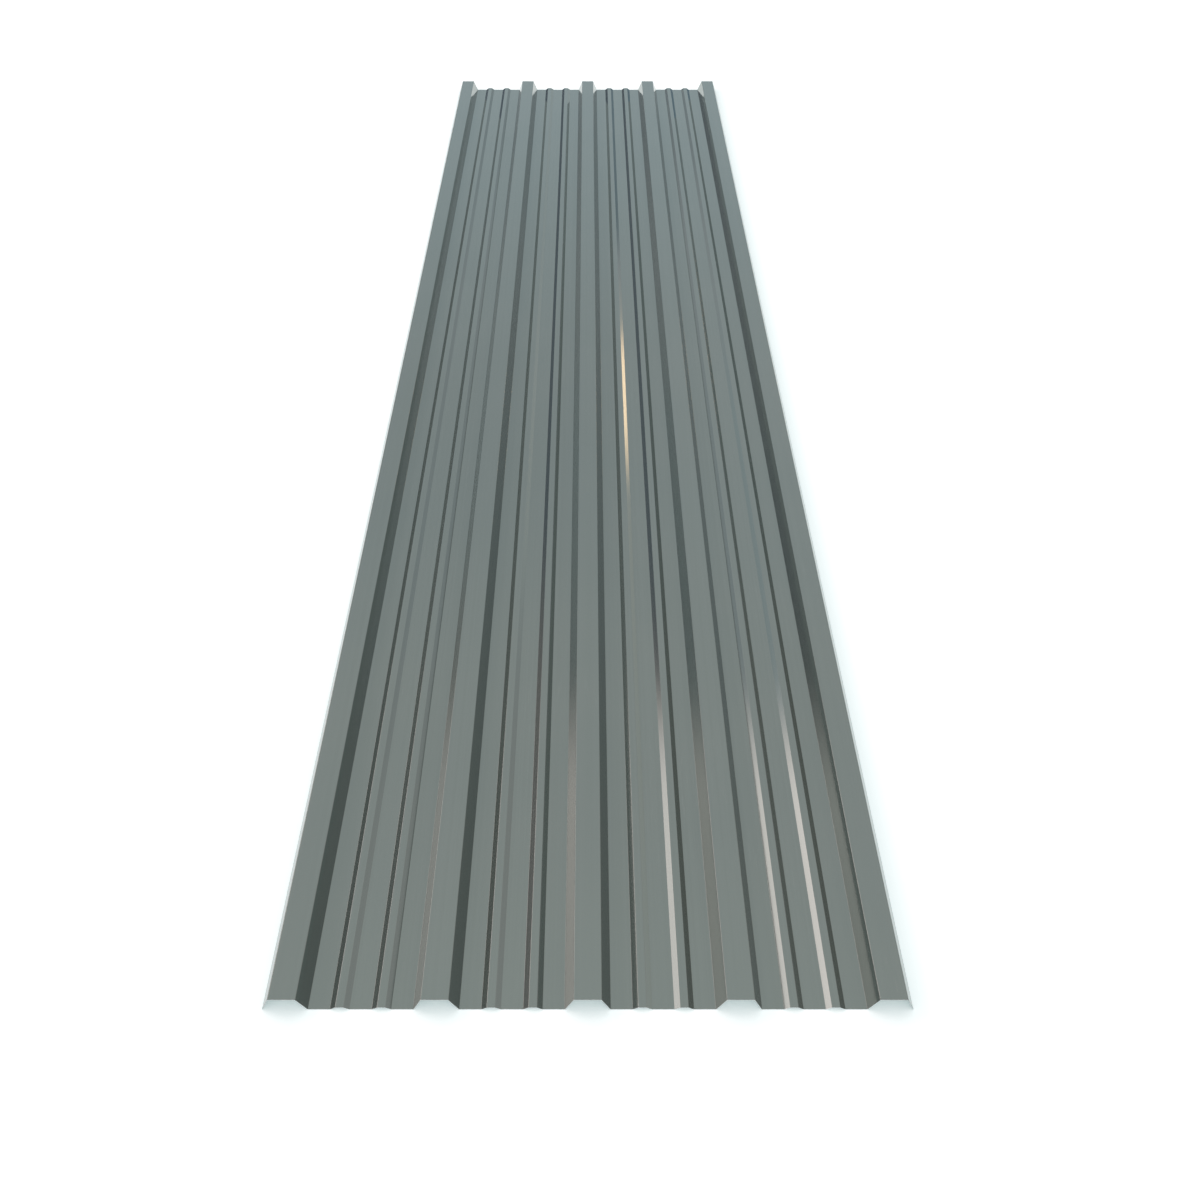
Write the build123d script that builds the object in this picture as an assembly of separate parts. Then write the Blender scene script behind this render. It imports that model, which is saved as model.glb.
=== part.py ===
from build123d import *
import os

# Corrugated metal sheet for roofs and walls: one strip of painted steel, roll formed in one piece.
# Main ribs stand on an even pitch, and every pan between them carries low stiffening ribs.
# Millimetres. +X runs across the sheet, +Y along it and +Z up, and the origin is at the bottom centre.
# Widths of the section are taken between the sharp corners of its underside, before rounding.

# The strip
sheet_length = 4000
sheet_thickness = 0.7
bend_radius = 1  # on the inside of every bend

# Main ribs
rib_count = 5
rib_pitch = 250
rib_depth = 35  # from the underside of the pans to the top of the crests
crest_width = 45
flank_run = 15  # sideways run of one sloping flank

# Stiffening ribs, spread evenly over each pan
stiffener_count = 2
stiffener_base = 32
stiffener_crest = 13
stiffener_height = 6.5


def trapezoid(middle, base, crest, height):
    """The four corners of a rib, from its foot on the left to its foot on the right."""
    return [
        (middle - base / 2, 0),
        (middle - crest / 2, height),
        (middle + crest / 2, height),
        (middle + base / 2, 0),
    ]


def section_corners():
    """The corners of the underside, rib after rib from the left edge to the right one."""
    rib_base = crest_width + 2 * flank_run
    rise = rib_depth - sheet_thickness
    pan_width = rib_pitch - rib_base
    flat_width = (pan_width - stiffener_count * stiffener_base) / (stiffener_count + 1)
    corners = []
    for rib in range(rib_count):
        rib_middle = (rib - (rib_count - 1) / 2) * rib_pitch
        corners += trapezoid(rib_middle, rib_base, crest_width, rise)
        if rib == rib_count - 1:
            break
        pan_start = rib_middle + rib_base / 2
        for stiffener in range(stiffener_count):
            foot = pan_start + flat_width + stiffener * (stiffener_base + flat_width)
            corners += trapezoid(foot + stiffener_base / 2, stiffener_base, stiffener_crest, stiffener_height)
    return corners


def underside_radii(rib_total):
    """The underside's radius at every bend: the foot of a rib bends the other way to its crest."""
    outside_radius = bend_radius + sheet_thickness
    radii = [outside_radius, bend_radius, bend_radius, outside_radius] * rib_total
    return radii[1:-1]  # the free edges of the outer flanks aren't bent


def profiled_sheet():
    """The strip's closed section, with one wall thickness round every bend, drawn out to length."""
    corners = section_corners()
    rib_total = rib_count + (rib_count - 1) * stiffener_count
    with BuildPart() as sheet:
        with BuildSketch(Plane.XZ):
            with BuildLine():
                FilletPolyline(*corners, radius=underside_radii(rib_total))
                offset(amount=sheet_thickness, side=Side.LEFT)
            make_face()
        extrude(amount=sheet_length / 2, both=True)
    return sheet.part


os.makedirs("parts", exist_ok=True)
export_step(profiled_sheet(), "parts/profiled_sheet.step")
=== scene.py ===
import math

import bpy
import numpy as np
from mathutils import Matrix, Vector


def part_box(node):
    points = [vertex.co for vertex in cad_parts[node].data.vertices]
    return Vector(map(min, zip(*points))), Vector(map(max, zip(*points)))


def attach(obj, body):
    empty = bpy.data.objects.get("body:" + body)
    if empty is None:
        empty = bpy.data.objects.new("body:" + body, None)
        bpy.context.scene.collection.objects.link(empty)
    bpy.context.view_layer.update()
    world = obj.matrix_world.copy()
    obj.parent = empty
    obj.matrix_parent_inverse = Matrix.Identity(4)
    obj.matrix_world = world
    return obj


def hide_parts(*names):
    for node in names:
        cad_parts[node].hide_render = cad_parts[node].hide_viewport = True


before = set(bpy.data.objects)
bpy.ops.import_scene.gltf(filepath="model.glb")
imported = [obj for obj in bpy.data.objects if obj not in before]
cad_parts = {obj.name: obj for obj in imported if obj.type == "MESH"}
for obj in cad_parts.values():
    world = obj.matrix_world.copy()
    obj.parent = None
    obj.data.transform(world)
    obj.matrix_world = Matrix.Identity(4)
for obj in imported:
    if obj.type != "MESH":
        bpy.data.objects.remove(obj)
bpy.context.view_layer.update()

# Corrugated metal sheet: one roll-formed strip of coil-coated steel, lying flat on a white floor.
# Metres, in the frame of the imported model: +X across the sheet, +Y along it, +Z up.

# The strip
sheet_low, sheet_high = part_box("profiled_sheet")
sheet_length = sheet_high.y - sheet_low.y
sheet_width = sheet_high.x - sheet_low.x
rib_depth = sheet_high.z - sheet_low.z
sheet_thickness = 0.0007
bend_radius = 0.001  # on the inside of every bend

# Main ribs, on the underside between sharp corners
rib_count = 5
rib_pitch = 0.25
crest_width = 0.045
flank_run = 0.015

# Stiffening ribs, spread evenly over each pan
stiffener_count = 2
stiffener_base = 0.032
stiffener_crest = 0.013
stiffener_height = 0.0065

# Mesh density
bend_steps = 7
crest_steps = 6
flank_steps = 3
pan_steps = 5
stiffener_steps = 2
length_steps = 64

# Shop marks in the shape: two slow waves in the flats, and the upper edge that the shear rolls over
wave_height = 0.00012
wave_length = 0.62
wave_turn = 9.7  # radians that the first wave is out of step from one rib to the next
second_length_share = 1.73  # length of the second wave over that of the first
second_turn_share = 2.3  # turn of the second wave over that of the first
shear_roll_depth = 0.00012
shear_roll_reach = 0.0004

# Grey-green paint on the upper face
paint_dark = (0.208, 0.246, 0.231, 1)
paint_light = (0.223, 0.262, 0.247, 1)
paint_at_bends = (0.33, 0.37, 0.35, 1)
paint_scuffed = (0.33, 0.36, 0.34, 1)
paint_metallic = 0.78
paint_roughness = 0.10
paint_relief = 0.000003

# Pale primer on the underside
primer_dark = (0.36, 0.37, 0.36, 1)
primer_light = (0.44, 0.45, 0.43, 1)
primer_scuffed = (0.55, 0.56, 0.55, 1)
primer_roughness = 0.42
primer_relief = 0.00001

# Bare metal at the cut edges and in the chips, and the dust that settles
steel_clean = (0.50, 0.50, 0.49, 1)
steel_tarnished = (0.33, 0.31, 0.29, 1)
steel_roughness = 0.28
steel_relief = 0.00004
bare_zinc = (0.60, 0.61, 0.60, 1)
dust_grey = (0.42, 0.40, 0.36, 1)

# Studio: the strength of sky, boards and lamps alike, and where the long boards begin and end
studio_level = 0.915
board_start = -3.0
board_end = 20.0
floor_half_width = 60.0


# The section

def trapezoid(middle, base, crest, height):
    """The four corners of a rib, from its foot on the left to its foot on the right."""
    return [
        (middle - base / 2, 0.0),
        (middle - crest / 2, height),
        (middle + crest / 2, height),
        (middle + base / 2, 0.0),
    ]


def bend_radii():
    """Underside radii at a rib's four corners: the feet bend the other way to the crest."""
    outside_radius = bend_radius + sheet_thickness
    return [outside_radius, bend_radius, bend_radius, outside_radius]


def section_corners():
    """Underside corners from edge to edge, each corner's bend radius, and the steps along each flat."""
    rib_base = crest_width + 2 * flank_run
    rise = rib_depth - sheet_thickness
    flat_width = (rib_pitch - rib_base - stiffener_count * stiffener_base) / (stiffener_count + 1)
    corners = []
    radii = []
    steps = []
    for rib in range(rib_count):
        rib_middle = (rib - (rib_count - 1) / 2) * rib_pitch
        corners += trapezoid(rib_middle, rib_base, crest_width, rise)
        radii += bend_radii()
        steps += [flank_steps, crest_steps, flank_steps, pan_steps]
        if rib == rib_count - 1:
            break
        pan_start = rib_middle + rib_base / 2
        for stiffener in range(stiffener_count):
            foot = pan_start + flat_width + stiffener * (stiffener_base + flat_width)
            middle = foot + stiffener_base / 2
            corners += trapezoid(middle, stiffener_base, stiffener_crest, stiffener_height)
            radii += bend_radii()
            steps += [stiffener_steps, stiffener_steps, stiffener_steps, pan_steps]
    return np.array(corners), radii, steps[:-1]


def left_normal(direction):
    """A direction in the section plane, turned to the left by a right angle."""
    return np.array([-direction[1], direction[0]])


def turned(vector, angle):
    """A vector in the section plane, turned to the left by an angle."""
    cosine, sine = math.cos(angle), math.sin(angle)
    return np.array([cosine * vector[0] - sine * vector[1], sine * vector[0] + cosine * vector[1]])


def rolled_section():
    """Points along the underside, the upward normal at each, how far it is bent and its share of a flat."""
    corners, radii, steps = section_corners()
    legs = np.diff(corners, axis=0)
    headings = legs / np.linalg.norm(legs, axis=1)[:, None]
    points, normals, bent, flat = [], [], [], []

    def lay(point, normal, bend_share, flat_share):
        points.append(point)
        normals.append(normal)
        bent.append(bend_share)
        flat.append(flat_share)

    start = corners[0]
    for leg, heading in enumerate(headings):
        last_leg = leg == len(headings) - 1
        turn = reach = 0.0
        if not last_leg:
            onward = headings[leg + 1]
            turn = math.atan2(heading[0] * onward[1] - heading[1] * onward[0], heading @ onward)
            reach = radii[leg + 1] * math.tan(abs(turn) / 2)
        end = corners[leg + 1] - heading * reach
        normal = left_normal(heading)
        for step in range(steps[leg] + 1):
            share = step / steps[leg]
            lay(start + (end - start) * share, normal, 0.0, math.sin(math.pi * share) ** 2)
        if last_leg:
            break
        side = math.copysign(radii[leg + 1], turn)
        centre = end + side * normal
        for step in range(1, bend_steps):
            share = step / bend_steps
            spoke = turned(normal, turn * share)
            lay(centre - side * spoke, spoke, math.sin(math.pi * share), 0.0)
        start = corners[leg + 1] + headings[leg + 1] * reach
    return np.array(points), np.array(normals), np.array(bent), np.array(flat)


# The sheet

def stations():
    """Places along the sheet, with how far the upper edge is rolled down at each."""
    half = sheet_length / 2
    inner = np.linspace(-half + shear_roll_reach, half - shear_roll_reach, length_steps + 1)
    places = np.concatenate([[-half], inner, [half]])
    rolled = np.zeros(len(places))
    rolled[[0, -1]] = shear_roll_depth
    return places, rolled


def slow_waves(across, along):
    """Waves in the flats from 0 to 1, out of step from one flat to the next."""
    phase = wave_turn * across / rib_pitch
    first = np.sin(2 * math.pi * along / wave_length + phase)
    second_length = wave_length * second_length_share
    second = np.sin(2 * math.pi * along / second_length + second_turn_share * phase)
    return 0.5 + 0.25 * (first + second)


def sheet_points(line, normals, flat, places, rolled):
    """Points of the upper face and of the underside, row by row along the sheet."""
    # Crests and main flanks give way inwards and pans upwards, so the sheet keeps its outer size
    inward = np.where(line[:, 1] > stiffener_height, -1.0, 1.0) * flat * wave_height
    points = np.zeros((2, len(places), len(line), 3))
    for row, (place, roll) in enumerate(zip(places, rolled)):
        shift = inward * slow_waves(line[:, 0], place)
        lower = line + normals * shift[:, None]
        upper = lower + normals * (sheet_thickness - roll)
        for face, outline in enumerate((upper, lower)):
            points[face, row, :, 0] = outline[:, 0]
            points[face, row, :, 1] = place
            points[face, row, :, 2] = outline[:, 1]
    return points.reshape(-1, 3)


def quads(first, second, third, fourth):
    """Four-cornered faces from four like arrays of point numbers."""
    return np.stack([first, second, third, fourth], axis=-1).reshape(-1, 4)


def sheet_faces(rows, columns):
    """Faces of the upper side, of the underside, and of the slit edges and sheared ends together."""
    upper, lower = np.arange(2 * rows * columns).reshape(2, rows, columns)
    top = quads(upper[:-1, :-1], upper[:-1, 1:], upper[1:, 1:], upper[1:, :-1])
    under = quads(lower[:-1, :-1], lower[1:, :-1], lower[1:, 1:], lower[:-1, 1:])
    cut = np.concatenate([
        quads(lower[:-1, 0], upper[:-1, 0], upper[1:, 0], lower[1:, 0]),
        quads(lower[:-1, -1], lower[1:, -1], upper[1:, -1], upper[:-1, -1]),
        quads(lower[0, :-1], lower[0, 1:], upper[0, 1:], upper[0, :-1]),
        quads(lower[-1, :-1], upper[-1, :-1], upper[-1, 1:], lower[-1, 1:]),
    ])
    return top, under, cut


def flat_normals(points, faces):
    """The normal of each flat face, from its two diagonals."""
    corner = points[faces]
    across = np.cross(corner[:, 2] - corner[:, 0], corner[:, 3] - corner[:, 1])
    return across / np.linalg.norm(across, axis=1)[:, None]


def rolled_sheet():
    """The strip as one closed mesh: upper face, underside, two slit edges and two sheared ends."""
    line, normals, bent, flat = rolled_section()
    places, rolled = stations()
    rows, columns = len(places), len(line)
    points = sheet_points(line, normals, flat, places, rolled)
    top, under, cut = sheet_faces(rows, columns)
    faces = np.concatenate([top, under, cut])

    mesh = bpy.data.meshes.new("rolled_sheet")
    mesh.from_pydata(points.tolist(), [], faces.tolist())
    mesh.polygons.foreach_set("use_smooth", np.ones(len(faces), dtype=bool))
    finish_of_face = np.repeat([0, 1, 2], [len(top), len(under), len(cut)])
    mesh.polygons.foreach_set("material_index", finish_of_face.astype(np.int32))

    # Exact normals keep the flats flat up to the start of each bend
    upward = np.zeros((columns, 3))
    upward[:, [0, 2]] = normals
    corner_normals = np.concatenate([
        upward[top.ravel() % columns],
        -upward[under.ravel() % columns],
        np.repeat(flat_normals(points, cut), 4, axis=0),
    ])
    mesh.normals_split_custom_set(corner_normals.tolist())

    worn = mesh.attributes.new("bend", "FLOAT", "POINT")
    worn.data.foreach_set("value", np.tile(bent, 2 * rows).astype(np.float32))
    mesh.update()
    sheet = bpy.data.objects.new("rolled_sheet", mesh)
    bpy.context.collection.objects.link(sheet)
    return sheet


# Node helpers

def add_node(tree, kind, inputs=None, **settings):
    """Add a node, set its options, and give its inputs plain values or sockets to link from."""
    node = tree.nodes.new(kind)
    for name, value in settings.items():
        setattr(node, name, value)
    for name, value in (inputs or {}).items():
        if isinstance(value, bpy.types.NodeSocket):
            tree.links.new(value, node.inputs[name])
        else:
            node.inputs[name].default_value = value
    return node


def math_of(tree, operation, first, second=0.0, third=0.0):
    """One step of arithmetic on one to three values or sockets."""
    inputs = {0: first, 1: second, 2: third}
    return add_node(tree, "ShaderNodeMath", inputs, operation=operation).outputs[0]


def ease(tree, value, low, high, to_low=0.0, to_high=1.0):
    """A smooth step of a value, from one level to another."""
    inputs = {"Value": value, "From Min": low, "From Max": high, "To Min": to_low, "To Max": to_high}
    return add_node(tree, "ShaderNodeMapRange", inputs, interpolation_type="SMOOTHSTEP").outputs["Result"]


def mix_colour(tree, share, first, second):
    """A blend from the first colour to the second; the sockets for colours go by number."""
    inputs = {0: share, 6: first, 7: second}
    return add_node(tree, "ShaderNodeMix", inputs, data_type="RGBA").outputs[2]


def noise_of(tree, position, scale, detail=2.0, roughness=0.5):
    """Soft noise from about 0 to 1, with as many cells in a unit of position as its scale."""
    inputs = {"Vector": position, "Scale": scale, "Detail": detail, "Roughness": roughness}
    return add_node(tree, "ShaderNodeTexNoise", inputs).outputs["Fac"]


def stretched(tree, position, across, along):
    """The position divided by a mark's size across and along the sheet."""
    size = add_node(tree, "ShaderNodeCombineXYZ", {"X": across, "Y": along, "Z": across}).outputs[0]
    inputs = {0: position, 1: size}
    return add_node(tree, "ShaderNodeVectorMath", inputs, operation="DIVIDE").outputs[0]


def parts_of(tree, vector):
    """The X, Y and Z of a vector."""
    return add_node(tree, "ShaderNodeSeparateXYZ", {0: vector}).outputs


def upward_part(tree):
    """How far a face looks up, from -1 to 1."""
    facing = add_node(tree, "ShaderNodeNewGeometry").outputs["Normal"]
    return parts_of(tree, facing)["Z"]


def scale_for(tree, size):
    """The noise scale that gives cells of a size."""
    return math_of(tree, "DIVIDE", 1.0, size)


def weighted_sum(tree, base, terms):
    """A base level plus each mask times its own weight."""
    total = base
    for mask, weight in terms:
        total = math_of(tree, "MULTIPLY_ADD", mask, weight, total)
    return total


def new_group(name, inputs, output):
    """An empty shader group with named inputs (vector or value) and one named value output."""
    group = bpy.data.node_groups.new(name, "ShaderNodeTree")
    for label, default in inputs.items():
        kind = "NodeSocketVector" if default is None else "NodeSocketFloat"
        socket = group.interface.new_socket(label, in_out="INPUT", socket_type=kind)
        if default is not None:
            socket.default_value = default
    group.interface.new_socket(output, in_out="OUTPUT", socket_type="NodeSocketFloat")
    given = group.nodes.new("NodeGroupInput").outputs
    result = group.nodes.new("NodeGroupOutput").inputs[0]
    return group, given, result


def place_group(tree, group, **values):
    """Put a group into a material; underscores in the value names stand for spaces."""
    inputs = {name.replace("_", " "): value for name, value in values.items()}
    return add_node(tree, "ShaderNodeGroup", inputs, node_tree=group).outputs[0]


# Effects that the finishes share

def rolling_lines_group():
    """Fine lines that the forming rolls leave along the sheet."""
    inputs = {"Position": None, "Line Width": 0.003, "Line Length": 1.5}
    group, given, result = new_group("rolling_lines", inputs, "Lines")
    drawn = stretched(group, given["Position"], given["Line Width"], given["Line Length"])
    lines = noise_of(group, drawn, scale=1.0, detail=3.0)
    group.links.new(ease(group, lines, low=0.35, high=0.65), result)
    return group


def paint_skin_group():
    """The faint roundness that paint keeps when it flows out and sets."""
    inputs = {"Position": None, "Cell Size": 0.004}
    group, given, result = new_group("paint_skin", inputs, "Height")
    scale = scale_for(group, given["Cell Size"])
    group.links.new(noise_of(group, given["Position"], scale, detail=1.0), result)
    return group


def handling_scuffs_group():
    """Short fine rubs along the sheet, in a few loose patches on the faces that lie level."""
    rub_width, rub_length = 0.0016, 0.05
    inputs = {"Position": None, "Patch Size": 0.35, "Amount": 0.5}
    group, given, result = new_group("handling_scuffs", inputs, "Mask")
    level = ease(group, math_of(group, "ABSOLUTE", upward_part(group)), low=0.9, high=1.0)
    fine = noise_of(group, stretched(group, given["Position"], rub_width, rub_length), scale=1.0)
    spread = noise_of(group, given["Position"], scale_for(group, given["Patch Size"]))
    patches = math_of(group, "MULTIPLY", ease(group, spread, low=0.48, high=0.66), level)
    rubs = math_of(group, "MULTIPLY", ease(group, fine, low=0.58, high=0.70), patches)
    group.links.new(math_of(group, "MULTIPLY", rubs, given["Amount"]), result)
    return group


def settled_dust_group():
    """A thin uneven film of dust on faces that look up."""
    inputs = {"Position": None, "Grain Size": 0.002, "Amount": 0.3}
    group, given, result = new_group("settled_dust", inputs, "Mask")
    grain_scale = scale_for(group, given["Grain Size"])
    grains = noise_of(group, given["Position"], grain_scale, detail=3.0, roughness=0.7)
    clouds = noise_of(group, given["Position"], scale=5.0, detail=3.0)
    grains = ease(group, grains, low=0.35, high=0.75)
    clouds = ease(group, clouds, low=0.35, high=0.7)
    film = math_of(group, "MULTIPLY", grains, clouds)
    lying = math_of(group, "MULTIPLY", film, ease(group, upward_part(group), low=0.5, high=1.0))
    group.links.new(math_of(group, "MULTIPLY", lying, given["Amount"]), result)
    return group


def bared_edge_group():
    """Paint chipped back along the sheared ends and the slit edges."""
    least_reach = 0.00001
    inputs = {"Position": None, "Reach": 0.0015}
    group, given, result = new_group("bared_edge", inputs, "Mask")
    parts = parts_of(group, given["Position"])
    from_end = math_of(group, "SUBTRACT", sheet_length / 2, math_of(group, "ABSOLUTE", parts["Y"]))
    from_slit = math_of(group, "SUBTRACT", sheet_width / 2, math_of(group, "ABSOLUTE", parts["X"]))
    nearest = math_of(group, "MINIMUM", from_end, from_slit)
    chips = noise_of(group, given["Position"], scale=420.0, detail=3.0, roughness=0.65)
    ragged = math_of(group, "MULTIPLY", given["Reach"], ease(group, chips, low=0.38, high=0.72))
    share = math_of(group, "DIVIDE", nearest, math_of(group, "MAXIMUM", ragged, least_reach))
    group.links.new(ease(group, share, low=0.7, high=1.0, to_low=1.0, to_high=0.0), result)
    return group


# Finishes

def new_finish(name):
    """A material with its Principled shader, and the position on the sheet that its marks follow."""
    finish = bpy.data.materials.new(name)
    finish.use_nodes = True
    tree = finish.node_tree
    shader = tree.nodes["Principled BSDF"]
    position = add_node(tree, "ShaderNodeTexCoord").outputs["Object"]
    return finish, tree, shader, position


def tinted(tree, colour, mask, tint, share=1.0):
    """A colour turned towards a tint by a share of a mask."""
    if share < 1.0:
        mask = math_of(tree, "MULTIPLY", mask, share)
    return mix_colour(tree, mask, colour, tint)


def lay_finish(tree, shader, colour, rough, relief, relief_depth):
    """Link a finish's colour and roughness, and its fine relief as bumps of a depth."""
    tree.links.new(colour, shader.inputs["Base Color"])
    tree.links.new(rough, shader.inputs["Roughness"])
    bump = add_node(tree, "ShaderNodeBump", {"Height": relief, "Distance": relief_depth, "Strength": 1.0})
    tree.links.new(bump.outputs["Normal"], shader.inputs["Normal"])


def top_coat(effects):
    """Grey-green coil coat with a mirror-like metallic gloss."""
    finish, tree, shader, position = new_finish("top_coat")
    lines = place_group(tree, effects["lines"], Position=position, Line_Width=0.004, Line_Length=1.8)
    skin = place_group(tree, effects["skin"], Position=position, Cell_Size=0.005)
    scuffs = place_group(tree, effects["scuffs"], Position=position, Patch_Size=0.4, Amount=0.35)
    dust = place_group(tree, effects["dust"], Position=position, Grain_Size=0.0015, Amount=0.06)
    bared = place_group(tree, effects["bared"], Position=position, Reach=0.0006)
    bend = add_node(tree, "ShaderNodeAttribute", attribute_name="bend").outputs["Fac"]
    clouds = noise_of(tree, position, scale=3.0, detail=3.0)

    shade = weighted_sum(tree, 0.0, [(clouds, 0.6), (lines, 0.4)])
    colour = mix_colour(tree, shade, paint_dark, paint_light)
    colour = tinted(tree, colour, bend, paint_at_bends, share=0.12)
    colour = tinted(tree, colour, scuffs, paint_scuffed, share=0.35)
    colour = tinted(tree, colour, dust, dust_grey)
    colour = tinted(tree, colour, bared, bare_zinc)
    wear = [(lines, 0.02), (bend, 0.03), (scuffs, 0.14), (dust, 0.3), (bared, 0.25)]
    rough = weighted_sum(tree, paint_roughness, wear)
    relief = weighted_sum(tree, 0.0, [(skin, 1.0), (lines, 0.5), (scuffs, -0.3), (bared, -4.0)])
    lay_finish(tree, shader, colour, rough, relief, paint_relief)
    shader.inputs["Metallic"].default_value = paint_metallic
    return finish


def back_coat(effects):
    """Thin pale grey primer on the underside."""
    finish, tree, shader, position = new_finish("back_coat")
    lines = place_group(tree, effects["lines"], Position=position, Line_Width=0.006, Line_Length=1.2)
    skin = place_group(tree, effects["skin"], Position=position, Cell_Size=0.003)
    scuffs = place_group(tree, effects["scuffs"], Position=position, Patch_Size=0.3, Amount=0.8)
    bared = place_group(tree, effects["bared"], Position=position, Reach=0.0014)
    clouds = noise_of(tree, position, scale=6.0, detail=4.0)

    shade = weighted_sum(tree, 0.0, [(clouds, 0.5), (lines, 0.5)])
    colour = mix_colour(tree, shade, primer_dark, primer_light)
    colour = tinted(tree, colour, scuffs, primer_scuffed, share=0.5)
    colour = tinted(tree, colour, bared, bare_zinc)
    rough = weighted_sum(tree, primer_roughness, [(lines, 0.08), (scuffs, 0.1)])
    relief = weighted_sum(tree, 0.0, [(skin, 1.0), (lines, 0.6), (scuffs, -0.6)])
    lay_finish(tree, shader, colour, rough, relief, primer_relief)
    tree.links.new(bared, shader.inputs["Metallic"])
    return finish


def cut_edge(effects):
    """Bare sheared steel between its two zinc layers."""
    finish, tree, shader, position = new_finish("cut_edge")
    grain = place_group(tree, effects["skin"], Position=position, Cell_Size=0.0006)
    dust = place_group(tree, effects["dust"], Position=position, Grain_Size=0.001, Amount=0.4)
    tarnish = noise_of(tree, position, scale=90.0, detail=4.0)

    colour = mix_colour(tree, ease(tree, tarnish, low=0.35, high=0.7), steel_clean, steel_tarnished)
    colour = tinted(tree, colour, dust, dust_grey)
    rough = weighted_sum(tree, steel_roughness, [(grain, 0.2), (tarnish, 0.15)])
    lay_finish(tree, shader, colour, rough, grain, steel_relief)
    shader.inputs["Metallic"].default_value = 1.0
    return finish


# Studio: boards and lamps that stand beside the sheet, on its left (-X) and right (+X)

def flat_panel(name, corners, material):
    """A flat four-cornered mesh."""
    mesh = bpy.data.meshes.new(name)
    mesh.from_pydata(corners, [], [(0, 1, 2, 3)])
    mesh.materials.append(material)
    panel = bpy.data.objects.new(name, mesh)
    bpy.context.collection.objects.link(panel)
    return panel


def stage_panel(name, corners, material):
    """A studio panel that the camera doesn't see."""
    panel = flat_panel(name, corners, material)
    panel.visible_camera = False
    return panel


def reflected_only(panel):
    """Keep a panel to reflections, so that it neither lights nor shades the floor."""
    panel.visible_diffuse = False
    panel.visible_shadow = False
    panel.visible_transmission = False
    panel.visible_volume_scatter = False


def upright_corners(across, heights, reach, lean=0.0):
    """Corners of an upright panel beside the sheet; lean slides its top along the sheet."""
    low, high = heights
    start, end = reach
    slide = lean * (high - low)
    return [
        (across, start, low),
        (across, end, low),
        (across, end + slide, high),
        (across, start + slide, high),
    ]


def glow_material(name):
    """An unlit material: a glow that fades out to clear where its cover is 0."""
    material = bpy.data.materials.new(name)
    material.use_nodes = True
    tree = material.node_tree
    tree.nodes.clear()
    glow = add_node(tree, "ShaderNodeEmission", {"Strength": studio_level})
    clear = add_node(tree, "ShaderNodeBsdfTransparent")
    blend = add_node(tree, "ShaderNodeMixShader", {1: clear.outputs[0], 2: glow.outputs[0]})
    add_node(tree, "ShaderNodeOutputMaterial", {"Surface": blend.outputs[0]})
    place = add_node(tree, "ShaderNodeNewGeometry").outputs["Position"]
    return material, tree, glow.inputs["Color"], blend.inputs[0], parts_of(tree, place)


def side_board(name, across, heights, reach, near, far, turn, soft_top, soft_start=0.0):
    """A board seen only in the gloss: it turns from a near to a far colour along the sheet.

    Its top fades out over soft_top, and its near end over soft_start."""
    material, tree, colour, cover, parts = glow_material(name)
    tree.links.new(mix_colour(tree, ease(tree, parts["Y"], *turn), near, far), colour)
    top = heights[1]
    shown = ease(tree, parts["Z"], top - soft_top, top, to_low=1.0, to_high=0.0)
    if soft_start:
        begun = ease(tree, parts["Y"], reach[0], reach[0] + soft_start)
        shown = math_of(tree, "MULTIPLY", shown, begun)
    tree.links.new(shown, cover)
    reflected_only(stage_panel(name, upright_corners(across, heights, reach), material))


def left_boards():
    """A dark board, a dim one that stands a little higher behind it, and a tall one beyond the far end."""
    side_board("left_dark_board", across=-4.2, heights=(0.0, 2.6), reach=(board_start, board_end),
               near=(0.30, 0.26, 0.26, 1), far=(0.11, 0.15, 0.20, 1), turn=(2.0, 4.5), soft_top=0.2)
    side_board("left_dim_board", across=-4.3, heights=(0.0, 3.3), reach=(board_start, board_end),
               near=(0.70, 0.73, 0.79, 1), far=(0.36, 0.41, 0.46, 1), turn=(10.0, 16.0), soft_top=0.5)
    side_board("left_wing", across=-4.5, heights=(0.0, 7.2), reach=(7.5, board_end),
               near=(0.76, 0.81, 0.86, 1), far=(0.46, 0.53, 0.58, 1), turn=(10.5, 16.5),
               soft_top=1.6, soft_start=3.0)


def right_boards():
    """A tall dim board, a dimmer one beyond the far end, a pale strip and a dark board low in front."""
    side_board("right_board", across=4.5, heights=(0.0, 8.5), reach=(board_start, board_end),
               near=(0.77, 0.735, 0.74, 1), far=(0.67, 0.705, 0.755, 1), turn=(1.0, 6.0), soft_top=2.0)
    side_board("right_wing", across=4.4, heights=(0.0, 7.2), reach=(9.5, board_end),
               near=(0.66, 0.72, 0.78, 1), far=(0.49, 0.57, 0.62, 1), turn=(10.5, 16.0),
               soft_top=1.6, soft_start=3.0)
    side_board("right_strip", across=4.3, heights=(1.6, 2.45), reach=(2.5, board_end),
               near=(0.97, 0.99, 1.00, 1), far=(0.78, 0.87, 0.90, 1), turn=(7.0, 12.0),
               soft_top=0.25, soft_start=2.5)
    side_board("right_dark_board", across=4.2, heights=(0.0, 1.6), reach=(8.4, board_end),
               near=(0.20, 0.30, 0.37, 1), far=(0.17, 0.27, 0.35, 1), turn=(9.0, 12.0),
               soft_top=0.1, soft_start=1.4)


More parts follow.
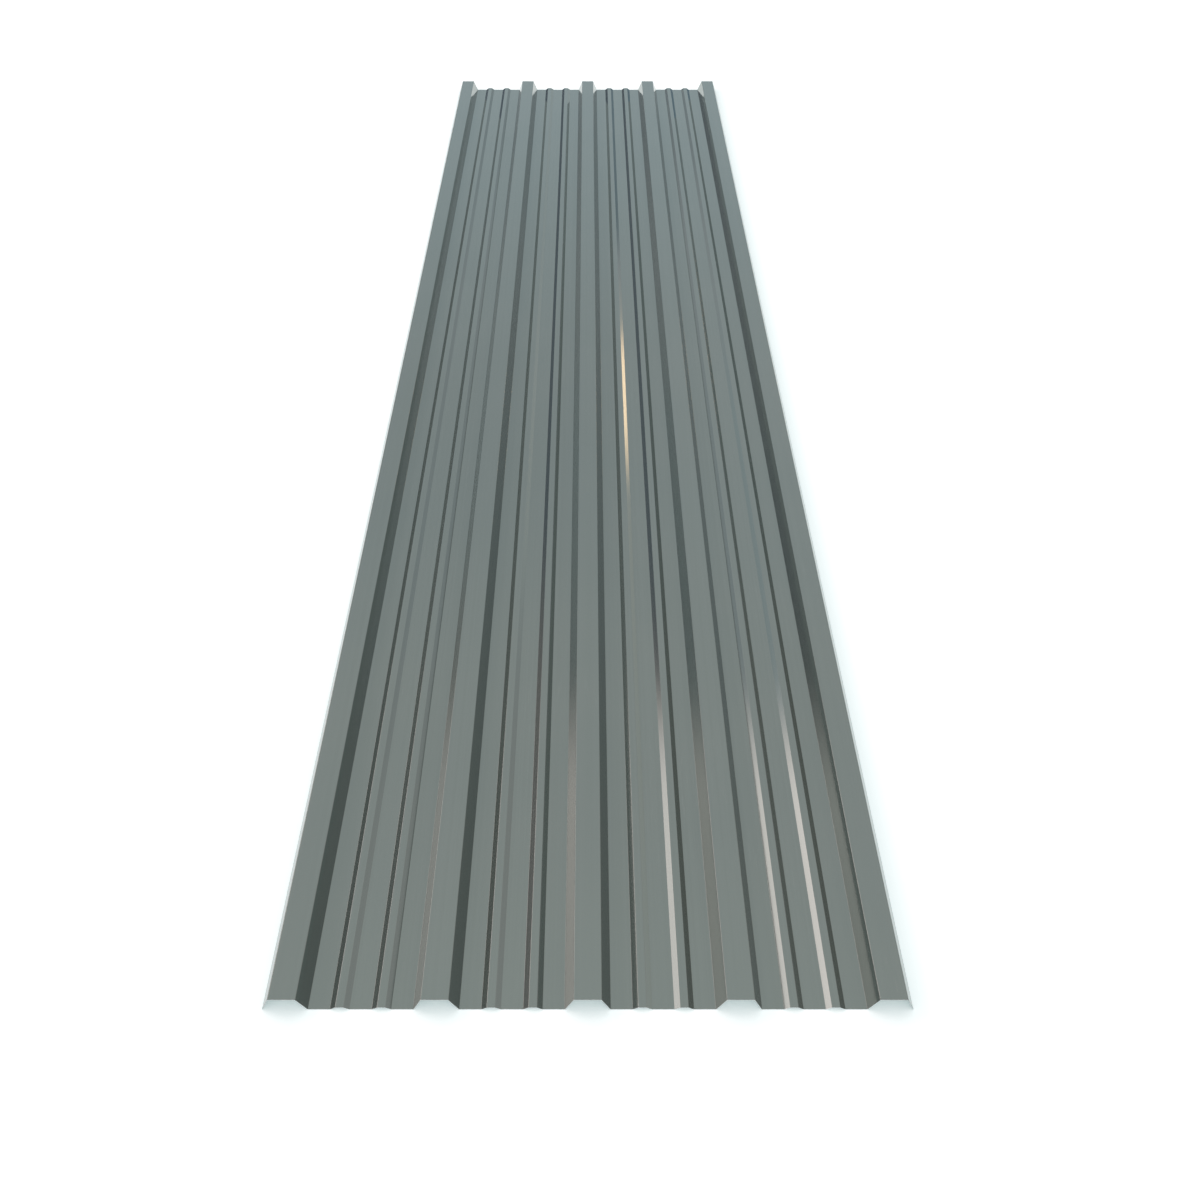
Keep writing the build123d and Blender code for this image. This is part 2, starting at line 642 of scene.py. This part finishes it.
def warm_softbox():
    """Large warm lamp high on the left: brightest in the middle, with a soft far edge that leans away."""
    across, low, high = -4.0, 1.75, 5.6
    near_edge, far_edge = -1.8, 2.15
    lean, softness = 0.38, 0.70
    low_glow = (2.90, 2.46, 2.44, 1)
    middle_glow = (4.5, 3.5, 3.5, 1)
    upper_glow = (2.15, 1.85, 1.85, 1)
    material, tree, colour, cover, parts = glow_material("warm_softbox")
    lower_half = mix_colour(tree, ease(tree, parts["Z"], low=2.8, high=3.6), low_glow, middle_glow)
    whole = mix_colour(tree, ease(tree, parts["Z"], low=3.8, high=4.6), lower_half, upper_glow)
    tree.links.new(whole, colour)
    leaning = math_of(tree, "MULTIPLY_ADD", parts["Z"], -lean, parts["Y"])
    edge = far_edge - lean * low
    shown = ease(tree, leaning, edge - softness, edge + softness, to_low=1.0, to_high=0.0)
    tree.links.new(shown, cover)
    corners = upright_corners(across, (low, high), (near_edge, far_edge + softness), lean)
    stage_panel("warm_softbox", corners, material)


def slim_lamp():
    """Narrow light along the right, with a warm stretch near its far end."""
    across, heights = 3.98, (1.12, 1.40)
    start, fade_start, end = -1.0, 6.8, 8.4
    plain_glow = (1.05, 1.03, 1.0, 1)
    warm_glow = (5.8, 4.0, 2.7, 1)
    material, tree, colour, cover, parts = glow_material("slim_lamp")
    warm_on = ease(tree, parts["Y"], low=4.2, high=5.4)
    warm_off = ease(tree, parts["Y"], low=6.2, high=7.0, to_low=1.0, to_high=0.0)
    warm = math_of(tree, "MULTIPLY", warm_on, warm_off)
    tree.links.new(mix_colour(tree, warm, plain_glow, warm_glow), colour)
    tree.links.new(ease(tree, parts["Y"], fade_start, end, to_low=1.0, to_high=0.0), cover)
    corners = upright_corners(across, heights, (start, end))
    reflected_only(stage_panel("slim_lamp", corners, material))


def white_floor():
    """A wide white floor that keeps the sheet's shadow.

    Where the camera or the gloss sees it, a faint glow makes up what the light lacks to white."""
    floor_white = (0.90, 0.90, 0.90, 1)
    glow_colour = (0.74, 1.00, 1.00, 1)
    glow_strength = 0.340
    material = bpy.data.materials.new("white_floor")
    material.use_nodes = True
    tree = material.node_tree
    shader = tree.nodes["Principled BSDF"]
    shader.inputs["Roughness"].default_value = 1.0
    shader.inputs["Specular IOR Level"].default_value = 0.0
    shader.inputs["Base Color"].default_value = floor_white
    shader.inputs["Emission Color"].default_value = glow_colour
    path = add_node(tree, "ShaderNodeLightPath").outputs
    seen = math_of(tree, "MAXIMUM", path["Is Camera Ray"], path["Is Glossy Ray"])
    seen = math_of(tree, "MAXIMUM", seen, path["Is Transmission Ray"])
    tree.links.new(math_of(tree, "MULTIPLY", seen, glow_strength), shader.inputs["Emission Strength"])
    half = floor_half_width
    corners = [(-half, -half, 0), (half, -half, 0), (half, half, 0), (-half, half, 0)]
    floor = flat_panel("white_floor", corners, material)


def studio_sky():
    """A pale dome: white at the horizon and overhead, cooler between, and warm high on both sides."""
    horizon = (1.1, 1.1, 1.1, 1)
    low_sky = (0.77, 0.89, 0.96, 1)
    middle_left = (0.82, 0.86, 0.905, 1)
    middle_right = (0.90, 0.93, 0.97, 1)
    high_sky = (0.94, 0.94, 0.955, 1)
    overhead = (1.0, 1.0, 1.0, 1)
    high_sides = (0.93, 0.79, 0.75, 1)
    world = bpy.data.worlds.new("studio_sky")
    world.use_nodes = True
    tree = world.node_tree
    direction = add_node(tree, "ShaderNodeTexCoord").outputs["Generated"]
    parts = parts_of(tree, direction)
    middle = mix_colour(tree, ease(tree, parts["X"], low=-0.03, high=0.12), middle_left, middle_right)

    # Each band of the sky takes over from the one below it between two heights on the dome
    bands = [(0.15, 0.34, low_sky), (0.33, 0.58, middle), (0.60, 0.78, high_sky), (0.82, 0.90, overhead)]
    colour = horizon
    for begins, complete, band in bands:
        colour = mix_colour(tree, ease(tree, parts["Z"], begins, complete), colour, band)
    sideways = ease(tree, math_of(tree, "ABSOLUTE", parts["X"]), low=0.25, high=0.42)
    raised = ease(tree, parts["Z"], low=0.52, high=0.66)
    colour = mix_colour(tree, math_of(tree, "MULTIPLY", sideways, raised), colour, high_sides)

    background = tree.nodes["Background"]
    tree.links.new(colour, background.inputs["Color"])
    background.inputs["Strength"].default_value = studio_level
    bpy.context.scene.world = world


def camera_above_front():
    """Standing in front of the near end, looking down on the sheet."""
    photo_pixels = 1200
    lens_pixels = 1104.2
    axis_pixel = 587.67
    tilt_down = math.radians(44.96)
    above_crests = 1.732
    before_near_end = 0.8125
    data = bpy.data.cameras.new("camera_above_front")
    data.sensor_width = 36.0
    data.lens = data.sensor_width * lens_pixels / photo_pixels
    data.shift_x = (photo_pixels / 2 - axis_pixel) / photo_pixels
    camera = bpy.data.objects.new("camera_above_front", data)
    camera.location = (0.0, sheet_low.y - before_near_end, sheet_high.z + above_crests)
    camera.rotation_euler = (math.pi / 2 - tilt_down, 0.0, 0.0)
    bpy.context.collection.objects.link(camera)
    bpy.context.scene.camera = camera


def dress_sheet():
    """The sheet with its three finishes, in the order that its faces number them."""
    effects = {
        "lines": rolling_lines_group(),
        "skin": paint_skin_group(),
        "scuffs": handling_scuffs_group(),
        "dust": settled_dust_group(),
        "bared": bared_edge_group(),
    }
    sheet = rolled_sheet()
    for finish in (top_coat(effects), back_coat(effects), cut_edge(effects)):
        sheet.data.materials.append(finish)
    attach(sheet, "root")
    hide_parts("profiled_sheet")


dress_sheet()
white_floor()
studio_sky()
left_boards()
right_boards()
warm_softbox()
slim_lamp()
camera_above_front()
bpy.context.scene.view_settings.view_transform = "Standard"
